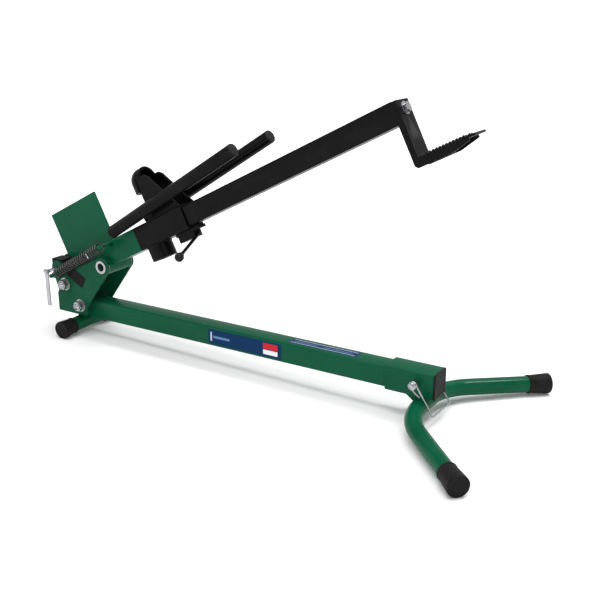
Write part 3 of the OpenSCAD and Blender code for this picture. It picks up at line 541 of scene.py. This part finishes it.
def buildFrontCap():
    # a plug with a rolled face: half width falls by c (1 - cos t) while x gains c sin t
    # the face inside its rim is dished by dishDeep
    t = np.linspace(0, math.pi / 2, 7)
    x = frontCap["start"] + frontCap["thick"] - frontCap["crown"] * (1 - np.sin(t))
    a = frontCap["half"] - frontCap["crown"] * (1 - np.cos(t))
    stations = [(frontCap["start"], frontCap["half"], frontCap["corner"])]
    stations += list(zip(x, a, frontCap["faceCorner"] + 0 * x))
    dish = a[-1] - frontCap["dishRim"]
    stations += [(x[-1], dish, 0.003), (x[-1] - frontCap["dishDeep"], dish - 0.0006, 0.003)]
    points = squareLoop(stations, raisedBase)
    piece = gridPiece("frontCap", points, capStart=True, capEnd=True)
    finishPiece(piece, finishes["black_plastic"], "frame", ("front_end_cap",))


buildSquareTubes()
buildFrontCap()
print("square tubes done")

# legs and rubber feet
legs = {"x": 0.891, "z": -0.0477, "middle": 0.03, "bend": 0.15, "turn": 46.0, "dip": 3.8,
        "straight": 0.198139, "radius": 0.019,
        "footOuter": 0.0235, "footMouth": 0.0206, "footLength": 0.055, "footFloor": 0.006,
        "rearX": -0.112, "rearZ": -0.0434181, "rearDip": 2.5, "rearLength": 0.1, "rearFootLength": 0.044}


def frontLegLine(sign, steps=30):
    # half of the bent tube: arc x = R (1 - cos t), y = m + R sin t, then a straight run along its end
    # the whole half dips below the level middle, from where its bend starts
    t = np.linspace(0, math.radians(legs["turn"]), steps)
    arc = np.stack([legs["bend"] * (1 - np.cos(t)), legs["bend"] * np.sin(t)], -1)
    heading = np.array([math.sin(t[-1]), math.cos(t[-1])])
    run = arc[-1] + np.linspace(0, legs["straight"] - legs["footFloor"], 12)[1:, None] * heading
    flat = np.concatenate([arc, run])
    dip = math.radians(legs["dip"])
    return np.stack([legs["x"] + flat[:, 0], sign * (legs["middle"] + flat[:, 1] * math.cos(dip)),
                     legs["z"] - flat[:, 1] * math.sin(dip)], -1)


def footProfile(length, outer, mouth, legRadius):
    # height from the closed end, radius: dished face, rolled rim, slow taper, lip at the mouth
    rim = [(0.0012, 0.55 * outer), (0.0012, 0.8 * outer), (0.0004, 0.85 * outer), (0.0, 0.9 * outer),
           (0.0003, 0.955 * outer), (0.0015, 0.99 * outer), (0.003, outer)]
    t = np.linspace(0, 1, 9)[1:]
    taper = [(0.003 + k * (length - 0.009), outer + (mouth - outer) * k ** 1.15) for k in t]
    lip = [(length - 0.0052, mouth + 0.0001), (length - 0.0042, mouth + 0.0009),
           (length - 0.002, mouth + 0.0011), (length - 0.0006, mouth + 0.0006), (length, mouth - 0.0006),
           (length, legRadius + 0.0001), (length - 0.004, legRadius - 0.0004)]
    return rim + taper + lip


def buildLegs():
    # front: both halves joined into one path with a round section; rear: two plain round tubes that dip
    # a foot slips over each end by its length less its own floor
    green, rubber = finishes["green_paint"], finishes["rubber"]
    near, far = frontLegLine(-1), frontLegLine(1)
    path = onBase(np.concatenate([near[::-1], far]))
    points = roundAlong(path, legs["radius"], baseUp, sides=40)
    piece = gridPiece("frontLegs", points, capStart=True, capEnd=True)
    finishPiece(piece, green, "frame",
                ("front_leg_core", "front_bend_near", "front_bend_far", "front_leg_near", "front_leg_far"))
    for name, line in (("Near", near), ("Far", far)):
        ends = onBase(line[-2:])
        axis = unit(ends[0] - ends[1])
        profile = footProfile(legs["footLength"], legs["footOuter"], legs["footMouth"], legs["radius"])
        points = turned(profile, ends[1] - axis * legs["footFloor"], axis)
        foot = gridPiece("frontFoot" + name, points, capStart=True, capEnd=True)
        finishPiece(foot, rubber, "frame", ("front_foot_" + name.lower(),))
    dip = math.radians(legs["rearDip"])
    for name, sign in (("Near", -1), ("Far", 1)):
        heading = placed(np.zeros(3), baseDir, sideDir, baseUp, (0, sign * math.cos(dip), -math.sin(dip)))
        middle = onBase((legs["rearX"], 0, legs["rearZ"]))
        outer = legs["rearLength"] - legs["footFloor"]
        profile = [(0.0, legs["radius"]), (outer / 2, legs["radius"]), (outer, legs["radius"])]
        points = turned(profile, middle, heading, sides=40)
        leg = gridPiece("rearLeg" + name, points, capStart=True, capEnd=True)
        finishPiece(leg, green, "frame", ("rear_leg_" + name.lower(),))
        profile = footProfile(legs["rearFootLength"], legs["footOuter"], legs["footMouth"], legs["radius"])
        points = turned(profile, middle + heading * legs["rearLength"], -heading)
        foot = gridPiece("rearFoot" + name, points, capStart=True, capEnd=True)
        finishPiece(foot, rubber, "frame", ("rear_foot_" + name.lower(),))


buildLegs()
print("legs and feet done")

# return spring
spring = {"lower": (-0.16, -0.042), "upper": (0.048, 0.020), "y": -0.063, "hook": 0.0072,
          "hookFrom": -150, "hookTo": 100, "gapLow": 0.014, "gapHigh": 0.010,
          "coil": 0.0128, "wire": 0.0015, "turns": 20, "blendInset": 0.012}


def buildSpring():
    # hooks: C = P + h (-+D cos a + E sin a)
    # coil: C = P + D (g + t l) + R (E cos 2 pi n t + Y sin 2 pi n t)
    low = onTower((spring["lower"][0], spring["y"], spring["lower"][1]))
    high = onArm((spring["upper"][0], spring["y"], spring["upper"][1]))
    span = np.linalg.norm(high - low)
    d = (high - low) / span
    e = np.cross(sideDir, d)
    a = np.radians(np.linspace(spring["hookFrom"], spring["hookTo"], 40))[:, None]
    lowHook = low + spring["hook"] * (e * np.sin(a[::-1]) - d * np.cos(a[::-1]))
    highHook = high + spring["hook"] * (d * np.cos(a) + e * np.sin(a))
    t = np.linspace(0, 1, spring["turns"] * 26)[:, None]
    a = 2 * math.pi * spring["turns"] * t
    coil = low + d * (spring["gapLow"] + t * (span - spring["gapLow"] - spring["gapHigh"]))
    coil = coil + spring["coil"] * (e * np.cos(a) + sideDir * np.sin(a))
    path = softPath(np.concatenate([lowHook, coil, highHook[::-1]]), step=0.0011, rounding=0.0018)
    points = roundAlong(path, spring["wire"], steadyAcross(path, d), sides=10)
    piece = gridPiece("returnSpring", points, capStart=True, capEnd=True)
    piece.data.materials.append(finishes["spring_steel"])
    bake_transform(piece)
    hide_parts("return_spring")


buildSpring()
print("spring done")

# lock pin's bail
bail = {"lean": 52.09, "reach": 0.079, "half": 0.0465, "eye": 0.0085, "wire": 0.0019,
        "lock": (0.88, 0.004), "tail": 0.02}


def buildBail():
    # one wire: far eye round the pin, out to a corner, across, back, round the near eye, a short tail
    # eye: x = w cos a, z = w sin a, in the bail's own axes
    c, s = math.cos(math.radians(bail["lean"])), math.sin(math.radians(bail["lean"]))
    out = baseDir * c - baseUp * s
    lift = np.cross(out, sideDir)
    centre = onBase((bail["lock"][0], 0, bail["lock"][1]))
    h, r, w = bail["half"], bail["reach"] + bail["wire"] * 0.3, bail["eye"]
    a = np.radians(np.linspace(240, 0, 30))
    farEye = np.stack([w * np.cos(a), 0 * a + h, w * np.sin(a)], -1)
    a = np.radians(np.linspace(62, 298, 40))
    nearEye = np.stack([w * np.cos(a), 0 * a - h, w * np.sin(a)], -1)
    tail = [(w + bail["tail"], -h, -0.002)]
    corners = np.concatenate([farEye, [(r, h, 0.0), (r, -h, 0.0)], nearEye, tail])
    path = softPath(corners, step=0.0008, rounding=0.0024)
    path = placed(centre, out, sideDir, lift, path)
    points = roundAlong(path, bail["wire"], steadyAcross(path, lift), sides=12)
    piece = gridPiece("lockBail", points, capStart=True, capEnd=True)
    finishPiece(piece, finishes["zinc"], "bail", ("lock_bail",))


buildBail()
print("bail done")

# side rods with rolled plugs
sideRods = {"start": 0.0893, "lift": 0.042, "y": 0.05, "slope": 5.2, "length": 0.445, "stagger": 0.038,
            "radius": 0.0155, "wall": 0.003, "lip": 0.0005, "plug": 0.003}


def buildSideRods():
    # plug: h = -p sin k, r = R - 0.8 p (1 - cos k), a shallow dome that rolls over the rod's end
    slope = math.radians(sideRods["slope"])
    heading = armDir * math.cos(slope) + armUp * math.sin(slope)
    r, plug, long = sideRods["radius"], sideRods["plug"], sideRods["length"]
    wall, lip = sideRods["wall"], sideRods["lip"]
    tube = [(0.0, r - wall), (0.0, r - lip), (lip, r), (long - lip, r), (long, r - lip), (long, r - wall)]
    t = np.linspace(0, math.pi / 2, 6)
    dome = [(-plug * math.sin(k), r - 0.0004 - plug * 0.8 * (1 - math.cos(k))) for k in t]
    for name, sign in (("Near", -1), ("Far", 1)):
        ahead = sideRods["stagger"] if sign > 0 else 0.0
        origin = onArm((sideRods["start"], sign * sideRods["y"], sideRods["lift"])) + heading * ahead
        points = turned(tube, origin, heading, sides=44)
        rod = gridPiece("sideRod" + name, points, capStart=True, capEnd=True)
        finishPiece(rod, finishes["black_paint"], "slider", ("side_rod_" + name.lower(),))
        for end, at, away in (("Back", origin, heading), ("Front", origin + heading * long, -heading)):
            points = turned(dome, at, away, sides=44)
            cap = gridPiece("rodPlug" + name + end, points, capStart=True, capEnd=True)
            finishPiece(cap, finishes["black_plastic"], "slider", ("rod_end_plugs",))


buildSideRods()
print("side rods done")

# clamp lever and its knob
clampLever = {"back": 0.2553, "x": 0.3123, "z": -0.046, "shaft": 0.005, "rod": 0.004, "shaftShare": 0.3,
              "dip": 21.4, "length": 0.112, "knob": 0.011, "neck": 0.0066}


def buildClampLever():
    # one bent rod: the shaft forward along the arm, then out to the near side and down by dip
    dip = math.radians(clampLever["dip"])
    x, z, long = clampLever["x"], clampLever["z"], clampLever["length"]
    tip = (x, -long * math.cos(dip), z - long * math.sin(dip))
    corners = onArm([(clampLever["back"], 0, z), (x, 0, z), tip])
    path = softPath(corners, step=0.0015, rounding=0.006)
    run = np.linspace(0, 1, len(path))
    radius = np.where(run < clampLever["shaftShare"], clampLever["shaft"], clampLever["rod"])
    radius = np.convolve(np.pad(radius, 3, mode="edge"), np.ones(7) / 7, "valid")
    points = roundAlong(path, radius, armUp, sides=20)
    piece = gridPiece("clampLever", points, capStart=True, capEnd=True)
    finishPiece(piece, finishes["black_paint"], "lever", ("clamp_lever",))
    # knob: a ball, r = R sqrt(1 - (h / R)^2), drawn out at the rod into a neck of its own radius
    heading = unit(path[-1] - path[-4])
    ball = clampLever["knob"]
    t = np.linspace(-0.97, 0.97, 22)
    r = np.maximum(ball * np.sqrt(1 - t ** 2), np.where(t < -0.7, clampLever["neck"], 0.0))
    profile = np.stack([ball * np.where(t < -0.7, t * 1.12, t), r], -1)
    points = turned(profile, onArm(tip), heading, sides=36)
    knob = gridPiece("leverKnob", points, capStart=True, capEnd=True)
    finishPiece(knob, finishes["black_plastic"], "lever", ("lever_knob",))


buildClampLever()
print("clamp lever done")

# threads on the tower bolts
threads = {"bolts": [(-0.135, -0.066), (-0.084, -0.1175)], "start": -0.0618, "length": 0.0069,
           "radius": 0.008, "depth": 0.0009, "pitch": 0.002, "taper": 0.0012}


def buildThreads():
    # r(h, v) = R - d (1 + cos(2 pi h / p - v)) / 2, drawn in by "taper" over the last "taper" of length
    h = np.linspace(0, threads["length"], 60)[:, None]
    v = np.linspace(0, 2 * math.pi, 48, endpoint=False)[None, :]
    wave = 0.5 + 0.5 * np.cos(2 * math.pi * h / threads["pitch"] - v)
    r = threads["radius"] - threads["depth"] * wave
    taper = threads["taper"]
    r = r - taper * np.clip((h - threads["length"] + taper) / taper, 0, 1)
    for k, (x, z) in enumerate(threads["bolts"]):
        p = np.stack([x + r * np.cos(v), threads["start"] - h + 0 * v, z + r * np.sin(v)], -1)
        piece = gridPiece("boltThread" + str(k + 1), onTower(p), capStart=True, capEnd=True)
        finishPiece(piece, finishes["zinc"], "frame")


# weld beads
# straight beads: name, start, end, thickness; their axes are the base's or the arm's
welds = {"radius": 0.0026, "ripple": 0.16, "pitch": 0.0045, "fade": 0.002,
         "fin": [("finWeldNear", (-0.0335, -0.0038, 0.0302), (0.033, -0.0038, 0.0302), 1.0),
                 ("finWeldFar", (-0.0335, 0.0038, 0.0302), (0.033, 0.0038, 0.0302), 1.0)],
         "base": [("sleeveWeldBack", (0.8785, -0.0275, -0.0293), (0.8785, 0.0275, -0.0293), 1.2),
                  ("sleeveWeldFront", (0.9035, -0.0275, -0.0293), (0.9035, 0.0275, -0.0293), 1.2),
                  ("rearLegWeldBack", (-0.123, -0.024, -0.0255), (-0.123, 0.024, -0.0255), 1.2),
                  ("rearLegWeldFront", (-0.101, -0.024, -0.0255), (-0.101, 0.024, -0.0255), 1.2)],
         "ears": [("earWeldNear", (0.198, -0.0302, 0.0302), (0.305, -0.0302, 0.0302), 0.8),
                  ("earWeldFar", (0.198, 0.0302, 0.0302), (0.305, 0.0302, 0.0302), 0.8)],
         "socket": (0.1753, -0.0304), "socketX": 0.0322, "socketY": 0.02898}


def weldBead(name, corners, across, body, slotName, size=1.0):
    # a bead whose radius breathes along its length: r(s) = R (1 + k |sin(pi s / p)|), thin at both ends
    path = softPath(corners, step=0.0007, rounding=0.001)
    s = np.linspace(0, np.linalg.norm(np.diff(path, axis=0), axis=1).sum(), len(path))
    r = size * welds["radius"] * (1 + welds["ripple"] * np.abs(np.sin(math.pi * s / welds["pitch"])))
    r = r * np.clip(np.minimum(s, s[-1] - s) / welds["fade"], 0.25, 1)
    points = roundAlong(path, r, across, sides=12)
    piece = gridPiece(name, points, capStart=True, capEnd=True)
    finishPiece(piece, finishes[slotName], body)


def buildWelds():
    # straight beads from the table above, then one closed ring
    for place, across, body, slotName, group in ((onArm, armUp, "arm", "green_paint", "fin"),
                                                 (onBase, baseUp, "frame", "green_paint", "base"),
                                                 (onArm, armUp, "slider", "black_paint", "ears")):
        for name, start, end, size in welds[group]:
            weldBead(name, place([start, end]), across, body, slotName, size)
    # round the socket: x = x0 + a cos t, y = b sin t
    a = np.linspace(0, 2 * math.pi, 80)
    x, z = welds["socket"]
    ring = np.stack([x + welds["socketX"] * np.cos(a), welds["socketY"] * np.sin(a), z + 0 * a], -1)
    weldBead("socketWeld", onArm(ring), armUp, "slider", "black_paint", size=0.9)


buildThreads()
buildWelds()
print("threads and welds done")

# blank labels
# each label: its length and width spans on the base, and its patches (u from, u to, v from, v to, tone)
labels = {"film": (0.0015, 0.026, 0.088), "filmDark": (0.0012, 0.022, 0.074), "edge": (0.55, 0.58, 0.66),
          "red": (0.5, 0.018, 0.03), "white": (0.72, 0.74, 0.78), "panel": (0.1, 0.2, 0.36),
          "specular": 0.07, "roughLow": 0.24, "roughHigh": 0.5, "bump": 0.08, "bumpDepth": 0.0003,
          "crown": 0.00038, "face": 0.025,
          "side": (0.322, 0.535, -0.019, 0.019),
          "sidePatches": [(0.012, 0.988, 0.05, 0.95, "film"), (0.03, 0.05, 0.2, 0.8, "edge"),
                          (0.07, 0.3, 0.42, 0.58, "panel"), (0.76, 0.95, 0.5, 0.88, "red"),
                          (0.76, 0.95, 0.14, 0.44, "white")],
          "top": (0.545, 0.727, -0.014, 0.014),
          "topPatches": [(0.02, 0.98, 0.08, 0.92, "film"), (0.04, 0.96, 0.14, 0.19, "edge"),
                         (0.04, 0.96, 0.81, 0.86, "edge"), (0.08, 0.4, 0.42, 0.5, "panel"),
                         (0.5, 0.9, 0.42, 0.5, "panel")]}


def labelFinish(name, patches):
    # a patch shows where u0 < u < u1 and v0 < v < v1, each test 0 or 1, multiplied together
    material = bpy.data.materials.new(name)
    material.use_nodes = True
    tree = material.node_tree
    shader = tree.nodes["Principled BSDF"]
    place = tree.nodes.new("ShaderNodeUVMap")
    place.uv_map = "along"
    split = tree.nodes.new("ShaderNodeSeparateXYZ")
    tree.links.new(place.outputs[0], split.inputs[0])
    coords = tree.nodes.new("ShaderNodeTexCoord").outputs["Object"]
    cloud = noiseNode(tree, coords, scale=30.0, detail=4.0)
    colour = mixColour(tree, cloud, labels["filmDark"], labels["film"])
    for u0, u1, v0, v1, tone in patches:
        mask = 1.0
        for axis, low, high in (("X", u0, u1), ("Y", v0, v1)):
            above = mathNode(tree, "GREATER_THAN", split.outputs[axis], low)
            below = mathNode(tree, "LESS_THAN", split.outputs[axis], high)
            mask = mathNode(tree, "MULTIPLY", mathNode(tree, "MULTIPLY", above, below), mask)
        colour = mixColour(tree, mask, colour, labels[tone])
    tree.links.new(colour, shader.inputs["Base Color"])
    shader.inputs["Specular IOR Level"].default_value = labels["specular"]
    scuff = noiseNode(tree, coords, scale=160.0, detail=6.0, rough=0.7)
    rough = rangeNode(tree, scuff, 0.3, 0.75, labels["roughLow"], labels["roughHigh"])
    tree.links.new(rough, shader.inputs["Roughness"])
    bump = tree.nodes.new("ShaderNodeBump")
    bump.inputs["Strength"].default_value = labels["bump"]
    bump.inputs["Distance"].default_value = labels["bumpDepth"]
    tree.links.new(scuff, bump.inputs["Height"])
    tree.links.new(bump.outputs["Normal"], shader.inputs["Normal"])
    return material


def labelPlate(name, node, span, toPlace, patches):
    # a film with a slight crown: w = t (1 - e^8), e the larger of |u| and |v|, so it falls at its edges
    u0, u1, v0, v1 = span
    u, v = np.meshgrid(np.linspace(-1, 1, 40), np.linspace(-1, 1, 16), indexing="ij")
    crown = labels["crown"] * (1 - np.maximum(np.abs(u), np.abs(v)) ** 8)
    p = toPlace((u0 + u1) / 2 + u * (u1 - u0) / 2, (v0 + v1) / 2 + v * (v1 - v0) / 2, crown)
    piece = gridPiece(name, onBase(p), closeV=False, outward=False, uv=True)
    finishPiece(piece, labelFinish(name + "Film", patches), "frame", (node,))


def onSideFace(u, v, w):  # u along the base, v up, w out from its near face
    return np.stack([u, -labels["face"] - w, v], -1)


def onTopFace(u, v, w):  # u along the base, v across, w up from its top face
    return np.stack([u, v, labels["face"] + w], -1)


def buildLabels():  # one film on the near face, one on the top face
    labelPlate("sideLabel", "side_label", labels["side"], onSideFace, labels["sidePatches"])
    labelPlate("topLabel", "top_label", labels["top"], onTopFace, labels["topPatches"])


buildLabels()
print("labels done")

# everything else keeps its CAD shape, welded, and softened by this much at its rims
softRims = {"cheek_near": 0.0009, "cheek_far": 0.0009, "fin_plate": 0.0008, "front_gusset": 0.0006,
            "ear_near": 0.0009, "ear_far": 0.0009, "clamp_plate": 0.0009, "clamp_block": 0.0008,
            "hitch_handle": 0.0005, "notch_buffer": 0.0012, "heel_buffer": 0.0012}


def buildCadPieces():
    # all nodes but those that a piece above already stands for
    done = {"base_tube", "front_sleeve", "stub_tube", "arm_tube", "slider_sleeve", "front_end_cap",
            "front_leg_core", "front_bend_near", "front_bend_far", "front_leg_near", "front_leg_far",
            "front_foot_near", "front_foot_far", "rear_leg_near", "rear_leg_far",
            "rear_foot_near", "rear_foot_far", "return_spring", "lock_bail",
            "side_rod_near", "side_rod_far", "rod_end_plugs", "clamp_lever", "lever_knob",
            "side_label", "top_label"}
    for node in sorted(set(nodes) - done):
        cadPiece(node, finishes[slotOf[node]], softRims.get(node, 0.0))


buildCadPieces()
print("CAD pieces finished")
